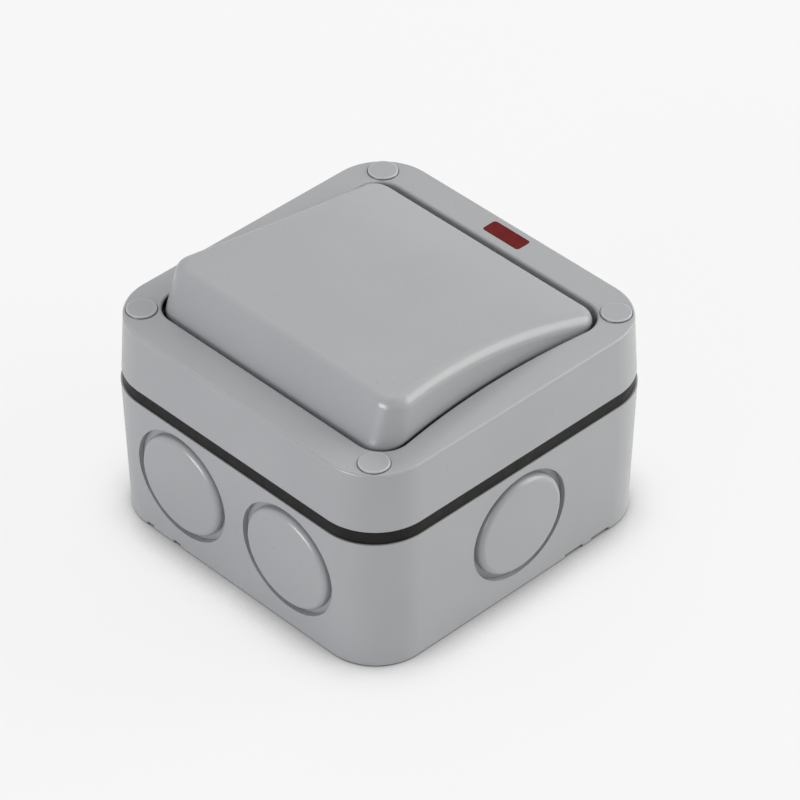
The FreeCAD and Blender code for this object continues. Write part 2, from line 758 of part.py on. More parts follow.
def crown_line(sketch, reach, crown, radius, low, low_reach):
    """Closed side profile under a crowned top, between slanting ends."""
    half, top, big = value(reach), value(crown), value(radius)
    drop = big - math.sqrt(big * big - half * half)
    side = math.degrees(math.asin(half / big))
    roof = sketch.addGeometry(arc((0, top - big), big, 90 - side, 90 + side))
    corners = [Vector(-half, top - drop, 0), Vector(-value(low_reach), value(low), 0),
               Vector(value(low_reach), value(low), 0), Vector(half, top - drop, 0)]
    lines = [sketch.addGeometry(Part.LineSegment(corners[i], corners[i + 1])) for i in range(3)]
    for first, second in ((roof, lines[0]), (lines[0], lines[1]), (lines[1], lines[2]), (lines[2], roof)):
        sketch.addConstraint(Sketcher.Constraint("Coincident", first, 2, second, 1))
    pin(sketch, roof, 3, "0", "%s - (%s)" % (crown, radius))
    dimension(sketch, "Radius", (roof,), radius)
    dimension(sketch, "DistanceX", (-1, 1, roof, 1), reach)
    dimension(sketch, "DistanceX", (roof, 2, -1, 1), reach)
    pin(sketch, lines[1], 1, "-(%s)" % low_reach, low)
    pin(sketch, lines[1], 2, low_reach, low)


def make_rocker():
    body = new_body("rocker")
    half_y = "rocker_half_y"
    waist = "opening_waist - rocker_gap"
    low = rocker_section(body, "RockerLow", "-rocker_skirt", "rocker_gap", half_y,
                         "opening_corner - rocker_corner_gap")
    high = rocker_section(body, "RockerHigh", "rocker_loft - rocker_skirt", "rocker_gap + rocker_side_draft",
                          half_y + " - rocker_end_draft", "rocker_top_corner")
    loft(body, "AdditiveLoft", low, high)
    above = new_sketch(body, "RockerAbove", "YZ_Plane")
    roof_trim(above)
    cut(body, above, "through", both_ways=True)
    round_edges(body, "rocker_edge_round", is_crown_edge)
    inside = new_sketch(body, "RockerInside", "YZ_Plane")
    slope = "rocker_end_draft / rocker_loft"
    crown_line(inside, "%s - rocker_wall - (rocker_crown - rocker_wall) * %s" % (half_y, slope),
               "rocker_crown - rocker_wall", "rocker_crown_radius - rocker_wall",
               "-rocker_skirt - seat_gap", "%s - rocker_wall" % half_y)
    cut(body, inside, "2 * (%s - rocker_wall - rocker_side_draft / 2)" % waist, both_ways=True)
    fork = new_sketch(body, "Fork", "XZ_Plane")
    rectangle(fork, "fork_width_half", "(rocker_crown - rocker_wall / 2 + fork_lap + %s) / 2" % TOGGLE_LEVER,
              "0", "(rocker_crown - rocker_wall / 2 - fork_lap - %s) / 2" % TOGGLE_LEVER)
    pad(body, fork, "2 * fork_half", both_ways=True)
    slot = new_sketch(body, "ForkSlot", "YZ_Plane")
    rectangle(slot, "toggle_ball + seat_gap", "fork_slot_depth / 2", "0",
              "fork_slot_depth / 2 - fork_lap - %s" % TOGGLE_LEVER)
    cut(body, slot, "through", both_ways=True)
    inner_x = "%s - rocker_wall - rocker_side_draft / 2" % waist
    for name, start, backwards in (("PinBossRight", inner_x + " - pin_boss_length", False),
                                   ("PinBossLeft", "-(%s - pin_boss_length)" % inner_x, True)):
        boss = new_sketch(body, name, "YZ_Plane", ("0", "0", start))
        circle(boss, "pin_boss_radius")
        pad(body, boss, "pin_boss_length + rocker_wall / 2", downward=backwards)
    bore = new_sketch(body, "PinBore", "YZ_Plane")
    circle(bore, "pin_radius + pin_running_gap")
    cut(body, bore, "through", both_ways=True)
    place(body, y="pivot_shift", z="pivot_height", tilt="-rocker_rest_tilt")
    return body


def roof_trim(sketch):
    """Region above the crowned top, drawn as a box with an arc for its floor."""
    half, top, big = value("opening_length_half + 2"), value("rocker_crown"), value("rocker_crown_radius")
    drop = big - math.sqrt(big * big - half * half)
    side = math.degrees(math.asin(half / big))
    ceiling = value("rocker_crown + rocker_loft")
    roof = sketch.addGeometry(arc((0, top - big), big, 90 - side, 90 + side))
    corners = [Vector(-half, top - drop, 0), Vector(-half, ceiling, 0),
               Vector(half, ceiling, 0), Vector(half, top - drop, 0)]
    lines = [sketch.addGeometry(Part.LineSegment(corners[i], corners[i + 1])) for i in range(3)]
    for first, second in ((roof, lines[0]), (lines[0], lines[1]), (lines[1], lines[2]), (lines[2], roof)):
        sketch.addConstraint(Sketcher.Constraint("Coincident", first, 2, second, 1))
    pin(sketch, roof, 3, "0", "rocker_crown - rocker_crown_radius")
    dimension(sketch, "Radius", (roof,), "rocker_crown_radius")
    dimension(sketch, "DistanceX", (-1, 1, roof, 1), "opening_length_half + 2")
    dimension(sketch, "DistanceX", (roof, 2, -1, 1), "opening_length_half + 2")
    pin(sketch, lines[1], 1, "-(opening_length_half + 2)", "rocker_crown + rocker_loft")
    pin(sketch, lines[1], 2, "opening_length_half + 2", "rocker_crown + rocker_loft")


def is_crown_edge(edge):
    """True for the rim of the crowned top face."""
    ends = (edge.valueAt(edge.FirstParameter), edge.valueAt(edge.LastParameter),
            edge.valueAt((edge.FirstParameter + edge.LastParameter) / 2))
    radius = value("rocker_crown_radius")
    centre = value("rocker_crown") - radius
    return all(abs(math.hypot(point.y, point.z - centre) - radius) < NEAR for point in ends)


def make_rocker_pins():
    body = new_body("rocker_pins")
    outer = "(opening_waist + well_wall + pin_proud)"
    for name, start, backwards in (("PinRight", outer, True), ("PinLeft", "-" + outer, False)):
        sketch = new_sketch(body, name, "YZ_Plane", ("0", "0", start))
        circle(sketch, "pin_radius")
        pad(body, sketch, "pin_length", downward=backwards)
    place(body, y="pivot_shift", z="pivot_height")
    return body


def make_indicator_lamp():
    """Glass capsule that lies along X under the window."""
    body = new_body("indicator_lamp")
    profile = new_sketch(body, "LampProfile")
    capsule(profile, "lamp_radius", "lamp_length / 2 - lamp_radius")
    revolve(body, "Revolution", profile, "H_Axis")
    place(body, y=LAMP_Y, z=LAMP_LEVEL)
    return body


def capsule(sketch, radius, reach):
    """Half outline of a round-ended rod along the sketch's X axis."""
    half, bend = value(reach), value(radius)
    right = sketch.addGeometry(arc((half, 0), bend, 0, 90))
    top = sketch.addGeometry(Part.LineSegment(Vector(half, bend, 0), Vector(-half, bend, 0)))
    left = sketch.addGeometry(arc((-half, 0), bend, 90, 180))
    base = sketch.addGeometry(Part.LineSegment(Vector(-half - bend, 0, 0), Vector(half + bend, 0, 0)))
    join_smoothly(sketch, right, 2, top, 1)
    join_smoothly(sketch, top, 2, left, 1)
    sketch.addConstraint(Sketcher.Constraint("Coincident", left, 2, base, 1))
    sketch.addConstraint(Sketcher.Constraint("Coincident", base, 2, right, 1))
    pin(sketch, right, 3, reach, "0")
    pin(sketch, left, 3, "-(%s)" % reach, "0")
    dimension(sketch, "Radius", (right,), radius)
    sketch.addConstraint(Sketcher.Constraint("PointOnObject", base, 1, -1))
    sketch.addConstraint(Sketcher.Constraint("PointOnObject", base, 2, -1))


def bent_tube(points, radius, slack):
    """Round tube through points, with a tangent arc that starts slack away from each corner."""
    edges = []
    start = points[0]
    for before, corner, after in zip(points, points[1:], points[2:]):
        inward, outward = (before - corner).normalize(), (after - corner).normalize()
        half_turn = (math.pi - inward.getAngle(outward)) / 2
        first, last = corner + inward * slack, corner + outward * slack
        bulge = slack / math.tan(half_turn) * (1 / math.cos(half_turn) - 1)
        middle = corner + (inward + outward).normalize() * bulge
        edges.append(Part.makeLine(start, first))
        edges.append(Part.Arc(first, middle, last).toShape())
        start = last
    edges.append(Part.makeLine(start, points[-1]))
    section = Part.Wire(Part.makeCircle(radius, points[0], points[1] - points[0]))
    return Part.Wire(edges).makePipeShell([section], True, False)


def make_lamp_leads():
    """Two insulated wires from the ends of the lamp into the common and the upper line terminal."""
    wires = []
    for side, terminal_y in (("-", "pivot_shift"), ("", "pivot_shift + button_y")):
        route = (("lamp_length / 2", LAMP_Y, LAMP_LEVEL), ("lead_x", LAMP_Y, LAMP_LEVEL),
                 ("lead_x", LAMP_Y, WIRE_LEVEL + " + lead_drop"), ("lead_reach", terminal_y, WIRE_LEVEL),
                 ("lead_end", terminal_y, WIRE_LEVEL))
        points = [Vector(value("%s(%s)" % (side, x)), value(y), value(z)) for x, y, z in route]
        wires.append(bent_tube(points, value("lead_radius"), value("4 * lead_radius")))
    leads = document.addObject("Part::Feature", "lamp_leads")
    leads.Label = "lamp_leads"
    leads.Shape = Part.makeCompound(wires)
    leads.Placement = Placement()
    return leads


def make_lamp_resistor():
    """Sleeved series resistor round the lead on the right."""
    body = new_body("lamp_resistor")
    low = "%s - resistor_drop - resistor_length" % LAMP_LEVEL
    disc(body, "Sleeve", "resistor_radius", low, "resistor_length", "lead_x", LAMP_Y)
    round_edges(body, "resistor_radius / 3", lambda edge: abs(edge.BoundBox.ZLength) < NEAR)
    drill(body, "SleeveBore", "lead_radius + thread_gap", low, "resistor_length", "lead_x", LAMP_Y)
    return body


# Screws, their seals and caps


def screw_group(name, places, seat, head_radius, head_height, shank_radius, shank_length, head_up=True):
    """Slotted cheese-head screws, one at each place, with their heads against the seat height."""
    body = new_body(name)
    head_low = seat if head_up else "%s - (%s)" % (seat, head_height)
    discs(body, name + "_heads", head_radius, head_low, head_height, places)
    outer_face = "%s + (%s)" % (head_low, head_height) if head_up else head_low
    bevel_edges(body, "slot_depth / 4", lambda edge: level_edge(edge, value(outer_face)))
    shank_low = "%s - (%s)" % (seat, shank_length) if head_up else seat
    discs(body, name + "_shanks", shank_radius, shank_low, shank_length, places)
    slots = new_sketch(body, name + "_slots", at=("0", "0", outer_face))
    for x, y in places:
        rectangle(slots, "2 * (%s)" % head_radius, "slot_width / 2", x, y)
    cut(body, slots, "slot_depth", downward=head_up)
    return body


def make_cover_screws():
    return screw_group("cover_screws", SCREW_PLACES, HEAD_SEAT + " + seal_height", "head_radius",
                       "head_height", "screw_radius", "screw_length")


def make_screw_seals():
    body = new_body("screw_seals")
    discs(body, "SealRings", "head_radius", HEAD_SEAT, "seal_height", SCREW_PLACES)
    drills(body, "SealHoles", "screw_radius", HEAD_SEAT, "seal_height", SCREW_PLACES)
    return body


def make_screw_caps():
    body = new_body("screw_caps")
    discs(body, "CapDiscs", "cap_radius", CAP_SEAT, "cap_height", SCREW_PLACES)
    top = "%s + cap_height" % CAP_SEAT
    round_edges(body, "cap_proud", lambda edge: level_edge(edge, value(top)))
    stem = "head_depth - cap_height + cap_proud - seal_height"
    discs(body, "CapStems", "cap_stem_radius", "%s - (%s)" % (CAP_SEAT, stem), stem, SCREW_PLACES)
    return body


# Boot that seals the toggle's stem where it comes through the well floor


def make_stem_boot():
    body = new_body("stem_boot")
    disc(body, "BootFlange", "boot_radius", CAP_TOP, "boot_flange", "0", "pivot_shift")
    disc(body, "BootDome", "boot_neck_radius", CAP_TOP, BOOT_HEIGHT, "0", "pivot_shift")
    dome_top = "%s + %s" % (CAP_TOP, BOOT_HEIGHT)
    round_edges(body, "boot_skin", lambda edge: level_edge(edge, value(dome_top)))
    drill(body, "BootInside", "boot_neck_radius - boot_skin", CAP_TOP, BOOT_HEIGHT + " - boot_skin",
          "0", "pivot_shift")
    lip = new_sketch(body, "BootLip", "YZ_Plane", ("pivot_shift", CAP_LOW, "0"), "rocker_rest_tilt")
    rectangle(lip, "(toggle_stem + pin_running_gap) / 2", TOGGLE_LEVER + " / 2",
              "(toggle_stem + pin_running_gap) / 2", TOGGLE_LEVER + " / 2")
    revolve(body, "Groove", lip, "V_Axis")
    return body


# Switch module


def make_module_cap():
    body = new_body("module_cap")
    block(body, "CapPlate", "module_half_x", "module_half_y", CAP_LOW, "module_cap", "0", "pivot_shift")
    block(body, "CapEars", "ear_half", "ear_reach", CAP_LOW, "module_cap", "0", "pivot_shift")
    hollow(body, "ToggleHole", "chamber_half_x", "cap_hole_half_y", CAP_LOW, "module_cap", y="pivot_shift")
    bearing_groove(body, "CapBearing")
    drills(body, "EarHoles", "module_screw_radius + seat_gap", CAP_LOW, "module_cap", EAR_PLACES)
    drills(body, "CasePilots", "module_screw_radius + thread_gap", CAP_LOW, "case_screw_bite + seat_gap",
           CASE_SCREW_PLACES)
    round_edges(body, "module_corner", lambda edge: upright_edge(edge) and is_outer_corner(edge))
    return body


def upright_edge(edge):
    box = edge.BoundBox
    return box.XLength < NEAR and box.YLength < NEAR


def is_outer_corner(edge):
    """True for the four corners of the module."""
    point = edge.Vertexes[0].Point
    return abs(abs(point.x) - value("module_half_x")) < NEAR


def bearing_groove(body, name):
    """Half-round bearing for the toggle's axle, on the joint between module base and cap."""
    sketch = new_sketch(body, name, "YZ_Plane", ("pivot_shift", CAP_LOW, "0"))
    circle(sketch, "toggle_axle + pin_running_gap")
    cut(body, sketch, "toggle_axle_length + 2 * seat_gap", both_ways=True)


def make_module_base():
    body = new_body("module_base")
    block(body, "ModuleBlock", "module_half_x", "module_half_y", MODULE_LOW, "module_height",
          y="pivot_shift")
    round_edges(body, "module_corner", lambda edge: upright_edge(edge) and is_outer_corner(edge))
    depth = "module_height - module_floor"
    hollow(body, "Chamber", "chamber_half_x", "chamber_half_y", CHAMBER_LOW, depth, "0", "pivot_shift")
    side_x = "chamber_half_x + divider + side_chamber_depth / 2"
    hollow(body, "CommonChamber", "side_chamber_depth / 2", "common_half_y", CHAMBER_LOW, depth,
           "-(%s)" % side_x, "pivot_shift")
    for name, sign in (("LineChamberTop", ""), ("LineChamberBottom", "-")):
        hollow(body, name, "side_chamber_depth / 2", "(line_far_y - line_near_y) / 2", CHAMBER_LOW, depth,
               side_x, "pivot_shift + %s(line_far_y + line_near_y) / 2" % sign)
    slot_half = "(strip_thickness / 2 + seat_gap)"
    for name, x, y in (("CommonSlot", "-chamber_half_x - divider - seat_gap", "0"),
                       ("LineSlotTop", "chamber_half_x - seat_gap", "button_y"),
                       ("LineSlotBottom", "chamber_half_x - seat_gap", "-button_y")):
        slot = new_sketch(body, name, "YZ_Plane", ("pivot_shift + " + y, CHAMBER_LOW + " + " + slot_half, x))
        rectangle(slot, "blade_half_width + seat_gap", slot_half)
        cut(body, slot, "divider + 2 * seat_gap")
    bearing_groove(body, "BaseBearing")
    screws = CASE_SCREW_PLACES
    drills(body, "CaseHoles", "module_screw_radius + seat_gap", MODULE_LOW, "module_height", screws)
    head_room = "module_screw_head_height"
    drills(body, "CaseHeads", "module_screw_head + screw_clearance", MODULE_LOW, head_room, screws)
    drills(body, "TerminalAccess", "terminal_screw_head + screw_clearance", MODULE_LOW, "module_floor",
           TERMINAL_PLACES)
    outer_x = "module_half_x - module_wall - seat_gap"
    for name, start, y in (("CommonWire", "-module_half_x - seat_gap", "0"),
                           ("LineWireTop", outer_x, "button_y"),
                           ("LineWireBottom", outer_x, "-button_y")):
        entry = new_sketch(body, name, "YZ_Plane", ("pivot_shift + " + y, WIRE_LEVEL, start))
        circle(entry, "wire_entry_radius")
        cut(body, entry, "module_wall + 2 * seat_gap")
    return body


# Toggle, drawn upright about its axle and then tipped to its rest


def make_toggle():
    body = new_body("toggle")
    hub = new_sketch(body, "ToggleHub", "YZ_Plane")
    circle(hub, "toggle_hub")
    pad(body, hub, "2 * (chamber_half_x - toggle_side_gap)", both_ways=True)
    axle = new_sketch(body, "ToggleAxle", "YZ_Plane")
    circle(axle, "toggle_axle")
    pad(body, axle, "toggle_axle_length", both_ways=True)
    disc(body, "ToggleStem", "toggle_stem", "0", TOGGLE_LEVER)
    ball = new_sketch(body, "ToggleBall", "XZ_Plane", ("0", TOGGLE_LEVER, "0"))
    half_disc(ball, "toggle_ball")
    revolve(body, "Revolution", ball, "V_Axis")
    disc(body, "ToggleBarrel", "barrel_radius", "-barrel_length", "barrel_length")
    drill(body, "ToggleBore", "barrel_bore", "-barrel_length", "barrel_length - barrel_roof")
    place(body, y="pivot_shift", z=CAP_LOW, tilt="rocker_rest_tilt")
    return body


def half_disc(sketch, radius):
    """Right half of a disc about the sketch's Y axis."""
    size = value(radius)
    bow = sketch.addGeometry(arc((0, 0), size, -90, 90))
    chord = sketch.addGeometry(Part.LineSegment(Vector(0, size, 0), Vector(0, -size, 0)))
    sketch.addConstraint(Sketcher.Constraint("Coincident", bow, 2, chord, 1))
    sketch.addConstraint(Sketcher.Constraint("Coincident", chord, 2, bow, 1))
    sketch.addConstraint(Sketcher.Constraint("Coincident", bow, 3, -1, 1))
    sketch.addConstraint(Sketcher.Constraint("PointOnObject", bow, 1, -2))
    sketch.addConstraint(Sketcher.Constraint("PointOnObject", bow, 2, -2))
    dimension(sketch, "Radius", (bow,), radius)


def make_toggle_plunger():
    """Round-nosed plunger that the toggle's spring presses on the contact blade."""
    body = new_body("toggle_plunger")
    low = "-plunger_reach + plunger_radius"
    disc(body, "PlungerRod", "plunger_radius", low, "plunger_length - plunger_radius")
    nose = new_sketch(body, "PlungerNose", "XZ_Plane", ("0", low, "0"))
    half_disc(nose, "plunger_radius")
    revolve(body, "Revolution", nose, "V_Axis")
    place(body, y="pivot_shift", z=CAP_LOW, tilt="rocker_rest_tilt")
    return body


def make_toggle_spring():
    body = new_body("toggle_spring")
    low = "-plunger_reach + plunger_length"
    wire = new_sketch(body, "SpringWire", "XZ_Plane")
    circle(wire, "spring_wire / 2", "spring_radius", low + " + spring_wire / 2")
    coil = body.newObject("PartDesign::AdditiveHelix", "SpringCoil")
    coil.Profile = wire
    coil.ReferenceAxis = (wire, ["V_Axis"])
    coil.Mode = "height-turns-angle"
    bind(coil, "Height", "plunger_reach - plunger_length - barrel_roof - spring_wire")
    bind(coil, "Turns", "spring_turns")
    document.recompute()
    place(body, y="pivot_shift", z=CAP_LOW, tilt="rocker_rest_tilt")
    return body


# Contacts


def make_contact_blade():
    body = new_body("contact_blade")
    block(body, "BladeStrip", "blade_half_width", "blade_half_length", "0", "blade_thickness")
    round_edges(body, "blade_corner", upright_edge)
    place(body, y="pivot_shift", z=BLADE_PIVOT, tilt="-blade_travel")
    return body


def make_blade_buttons():
    body = new_body("blade_buttons")
    discs(body, "Buttons", "button_radius", "-button_height", "button_height",
          [("0", "button_y"), ("0", "-button_y")])
    place(body, y="pivot_shift", z=BLADE_PIVOT, tilt="-blade_travel")
    return body


def terminal(body, x, y):
    """Terminal block with a wire hole along X and a screw hole from below."""
    block(body, "Block", "terminal_half", "terminal_half", CHAMBER_LOW, "terminal_height", x, y)
    wire = new_sketch(body, "WireHole", "YZ_Plane", (y, WIRE_LEVEL, x))
    circle(wire, "wire_hole_radius")
    cut(body, wire, "2 * terminal_half", both_ways=True)
    drill(body, "ScrewHole", "terminal_screw_radius", CHAMBER_LOW, "terminal_height / 2", x, y)


def make_common_contact():
    body = new_body("common_contact")
    end = "blade_half_width + cheek_gap + strip_thickness"
    block(body, "CommonStrip", "(terminal_x + %s) / 2" % end, "blade_half_width", CHAMBER_LOW,
          "strip_thickness", "(%s - terminal_x) / 2" % end, "pivot_shift")
    terminal(body, "-terminal_x", "pivot_shift")
    post = "%s - %s - contact_gap" % (BLADE_PIVOT, CHAMBER_LOW)
    block(body, "KnifeEdge", "knife_half", "strip_thickness / 2", CHAMBER_LOW, post, "0", "pivot_shift")
    for name, sign in (("CheekLeft", "-"), ("CheekRight", "")):
        block(body, name, "strip_thickness / 2", "strip_thickness", CHAMBER_LOW, post + " + cheek_rise",
              sign + "(blade_half_width + cheek_gap + strip_thickness / 2)", "pivot_shift")
    return body


def make_line_contact(name, y):
    body = new_body(name)
    block(body, "LineStrip", "(terminal_x + blade_half_width) / 2", "blade_half_width", CHAMBER_LOW,
          "strip_thickness", "(terminal_x - blade_half_width) / 2", y)
    terminal(body, "terminal_x", y)
    return body


def make_line_buttons():
    body = new_body("line_buttons")
    low = "(%s + strip_thickness)" % CHAMBER_LOW
    closed = "(%s - button_y * sin(blade_travel * 1deg) - button_height - 2 * contact_gap)" % BLADE_PIVOT
    discs(body, "FixedButtons", "button_radius", low, "%s - %s" % (closed, low),
          [("0", "pivot_shift + button_y"), ("0", "pivot_shift - button_y")])
    return body


def make_terminal_screws():
    return screw_group("terminal_screws", TERMINAL_PLACES, CHAMBER_LOW, "terminal_screw_head",
                       "terminal_head_height", "terminal_screw_radius",
                       "%s - wire_hole_radius - %s" % (WIRE_LEVEL, CHAMBER_LOW), head_up=False)


def make_case_screws():
    seat = "%s + module_screw_head_height" % MODULE_LOW
    reach = "module_height - module_screw_head_height + case_screw_bite"
    return screw_group("case_screws", CASE_SCREW_PLACES, seat, "module_screw_head",
                       "module_screw_head_height", "module_screw_radius", reach, head_up=False)


def make_module_screws():
    return screw_group("module_screws", EAR_PLACES, CAP_LOW, "module_screw_head",
                       "module_screw_head_height", "module_screw_radius",
                       "module_cap + boot_flange + well_floor / 2", head_up=False)


# Earth terminal on the floor of the box


def make_earth_terminal():
    body = new_body("earth_terminal")
    block(body, "EarthBlock", "earth_half", "earth_half", "box_floor", "earth_height", "earth_x", "0")
    wire = new_sketch(body, "EarthWire", "XZ_Plane", ("earth_x", "box_floor + earth_wire_level", "0"))
    circle(wire, "wire_hole_radius")
    cut(body, wire, "2 * earth_half", both_ways=True)
    drill(body, "EarthScrewHole", "terminal_screw_radius", "box_floor + earth_wire_level",
          "earth_height - earth_wire_level", "earth_x", "0")
    return body


def make_earth_screw():
    return screw_group("earth_screw", [("earth_x", "0")], "box_floor + earth_height", "terminal_screw_head",
                       "terminal_head_height", "terminal_screw_radius",
                       "earth_height - earth_wire_level - wire_hole_radius")


# Every piece, checked and written out

PIECES = [
    make_back_box(),
    make_box_gasket(),
    make_front_cover(),
    make_indicator_window(),
    make_indicator_lamp(),
    make_lamp_leads(),
    make_lamp_resistor(),
    make_rocker(),
    make_rocker_pins(),
    make_cover_screws(),
    make_screw_seals(),
    make_screw_caps(),
    make_stem_boot(),
    make_module_cap(),
    make_module_base(),
    make_toggle(),
    make_toggle_plunger(),
    make_toggle_spring(),
    make_contact_blade(),
    make_blade_buttons(),
    make_common_contact(),
    make_line_contact("line_contact_1", "pivot_shift + button_y"),
    make_line_contact("line_contact_2", "pivot_shift - button_y"),
    make_line_buttons(),
    make_terminal_screws(),
    make_case_screws(),
    make_module_screws(),
    make_earth_terminal(),
    make_earth_screw(),
]

document.recompute()
for item in document.Objects:
    if "Invalid" in item.State or "Error" in item.State:
        raise RuntimeError("%s did not compute" % item.Name)
for piece in PIECES:
    if piece.Shape.isNull() or not piece.Shape.isValid() or not piece.Shape.Solids:
        raise RuntimeError("%s has no sound solid" % piece.Label)
    piece.Shape.exportStep("parts/%s.step" % piece.Label)
    print(piece.Label, len(piece.Shape.Solids), round(piece.Shape.Volume, 1))
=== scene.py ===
"""Looks of the outdoor weatherproof switch: grey plastic, black gasket, red window, on a pale floor.

Lengths are in metres and angles in degrees. Levels are sRGB ones from 0 to 255, other colours are linear.
"""
import json
import math

import bpy
from mathutils import Matrix, Vector


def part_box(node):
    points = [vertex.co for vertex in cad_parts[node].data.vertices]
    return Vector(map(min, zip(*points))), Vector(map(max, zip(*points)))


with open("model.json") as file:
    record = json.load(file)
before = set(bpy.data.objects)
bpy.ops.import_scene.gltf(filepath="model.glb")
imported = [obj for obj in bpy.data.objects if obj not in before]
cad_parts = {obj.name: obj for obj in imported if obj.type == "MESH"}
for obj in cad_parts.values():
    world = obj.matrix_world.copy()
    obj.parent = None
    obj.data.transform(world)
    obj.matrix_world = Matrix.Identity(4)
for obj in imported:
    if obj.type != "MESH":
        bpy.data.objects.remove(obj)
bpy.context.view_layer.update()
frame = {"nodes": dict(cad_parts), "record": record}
NODES = frame["nodes"]


def direction(azimuth, elevation):
    """Unit vector out of the object: azimuth 0 is -Y and 90 is +X."""
    a, e = math.radians(azimuth), math.radians(elevation)
    return Vector((math.sin(a) * math.cos(e), -math.cos(a) * math.cos(e), math.sin(e)))


def add_object(name, data):
    """Puts data in the scene as an object."""
    thing = bpy.data.objects.new(name, data)
    bpy.context.scene.collection.objects.link(thing)
    return thing


# Camera, solved from the photograph's outline

PHOTO_PX, FOCAL_PX = 800.0, 4453.0
SENSOR_WIDTH = 36.0
SIGHT = 20.0
AZIMUTH, ELEVATION, ROLL = 45.94, 39.089, -0.105
TARGET = Vector((0, 0, 0.03055))
SHIFT_RIGHT, SHIFT_UP, DISTANCE = 0.004528, -0.001728, 0.96889


def add_camera():
    """Camera in the photograph's place, with its focal length."""
    back = direction(AZIMUTH, ELEVATION)
    right = Vector((0, 0, 1)).cross(back).normalized()
    up = back.cross(right)
    turn = Matrix.Rotation(math.radians(ROLL), 3, back)
    right, up = turn @ right, turn @ up
    data = bpy.data.cameras.new("camera")
    data.sensor_width = SENSOR_WIDTH
    data.lens = FOCAL_PX / PHOTO_PX * SENSOR_WIDTH
    data.clip_end = SIGHT
    camera = add_object("camera", data)
    camera.matrix_world = Matrix((right, up, back)).transposed().to_4x4()
    camera.location = TARGET + right * SHIFT_RIGHT + up * SHIFT_UP + back * DISTANCE
    bpy.context.scene.camera = camera


# Node trees


class Tree:
    """Node tree of a material or world, with short calls to add and join nodes."""

    def __init__(self, owner):
        owner.use_nodes = True
        self.nodes = owner.node_tree.nodes
        self.links = owner.node_tree.links

    def feed(self, target, source):
        """Sets a socket to a number or colour, or links it to another socket."""
        if isinstance(source, (int, float)):
            target.default_value = source
        elif isinstance(source, tuple):
            target.default_value = (*source, 1)
        else:
            self.links.new(source, target)

    def math(self, operation, *sources):
        node = self.nodes.new("ShaderNodeMath")
        node.operation = operation
        for target, source in zip(node.inputs, sources):
            self.feed(target, source)
        return node.outputs["Value"]

    def ray(self, kind):
        """1 for one kind of ray, such as Is Camera Ray, and 0 for the others."""
        return self.nodes.new("ShaderNodeLightPath").outputs[kind]


class Shader(Tree):
    """A new material around Blender's principled shader."""

    def __init__(self, name):
        self.material = bpy.data.materials.new(name)
        super().__init__(self.material)
        self.principled = self.nodes["Principled BSDF"]
        self.surface = self.nodes["Material Output"].inputs["Surface"]
        self.position = self.nodes.new("ShaderNodeTexCoord").outputs["Object"]

    def set(self, **values):
        """Feeds the principled shader's sockets, with _ for each blank in a name."""
        for name, source in values.items():
            self.feed(self.principled.inputs[name.replace("_", " ")], source)

    def source(self, name):
        """What feeds one of the principled shader's sockets so far."""
        return self.principled.inputs[name].links[0].from_socket

    def noise(self, scale, detail, roughness=0.5):
        node = self.nodes.new("ShaderNodeTexNoise")
        self.feed(node.inputs["Vector"], self.position)
        self.feed(node.inputs["Scale"], scale)
        self.feed(node.inputs["Detail"], detail)
        self.feed(node.inputs["Roughness"], roughness)
        return node.outputs["Fac"]

    def ramp(self, source, stops):
        """Colours or grey levels at rising places between 0 and 1."""
        node = self.nodes.new("ShaderNodeValToRGB")
        elements = node.color_ramp.elements
        while len(elements) < len(stops):
            elements.new(0.5)
        for element, (place, colour) in zip(elements, stops):
            element.position = place
            element.color = (*colour, 1) if isinstance(colour, tuple) else (colour, colour, colour, 1)
        self.feed(node.inputs["Fac"], source)
        return node.outputs["Color"]

    def vary(self, noise, low, high):
        """Ramp over the middle of a noise pattern's range, where nearly all of it lies."""
        return self.ramp(self.noise(*noise), [(0.3, low), (0.7, high)])

    def dots(self, noise, start, end):
        """Mask of the sparse peaks of a noise pattern."""
        return self.ramp(self.noise(*noise), [(start, 0.0), (end, 1.0)])

    def mix(self, factor, first, second, blend="MIX"):
        node = self.nodes.new("ShaderNodeMix")
        node.data_type = "RGBA"
        node.blend_type = blend
        colours = [socket for socket in node.inputs if socket.type == "RGBA"]
        for target, source in zip([node.inputs[0], *colours], (factor, first, second)):
            self.feed(target, source)
        return next(socket for socket in node.outputs if socket.type == "RGBA")

    def join(self, factor, first, second):
        """Mixes two shaders."""
        node = self.nodes.new("ShaderNodeMixShader")
        for target, source in zip(node.inputs, (factor, first, second)):
            self.feed(target, source)
        return node.outputs["Shader"]

    def occlusion(self, reach):
        """1 in the open, down towards 0 in corners and gaps narrower than reach."""
        node = self.nodes.new("ShaderNodeAmbientOcclusion")
        node.samples = OCCLUSION_SAMPLES
        self.feed(node.inputs["Distance"], reach)
        return node.outputs["AO"]

    def bump(self, noise, strength, depth, under=None):
        """Normal of a noisy surface, on top of another bump's normal if one is given."""
        node = self.nodes.new("ShaderNodeBump")
        self.feed(node.inputs["Height"], self.noise(*noise))
        self.feed(node.inputs["Strength"], strength)
        self.feed(node.inputs["Distance"], depth)
        if under:
            self.feed(node.inputs["Normal"], under)
        return node.outputs["Normal"]


def srgb(levels, change=0):
    """Linear colour of sRGB levels, after adding the same change to each."""
    return tuple((((level + change) / 255 + 0.055) / 1.055) ** 2.4 for level in levels)


# Materials. A noise pattern is its scale, its detail and, where it isn't 0.5, its roughness.

OCCLUSION_SAMPLES = 8
# Painted shade in narrow gaps and corners: the occlusion reach and the tones that darken the colour there.
GAP_REACH = 0.0014
GAP_SHADE_TONES = [(0.24, 0.01), (0.40, 0.10), (0.48, 0.72), (0.54, 1.0)]

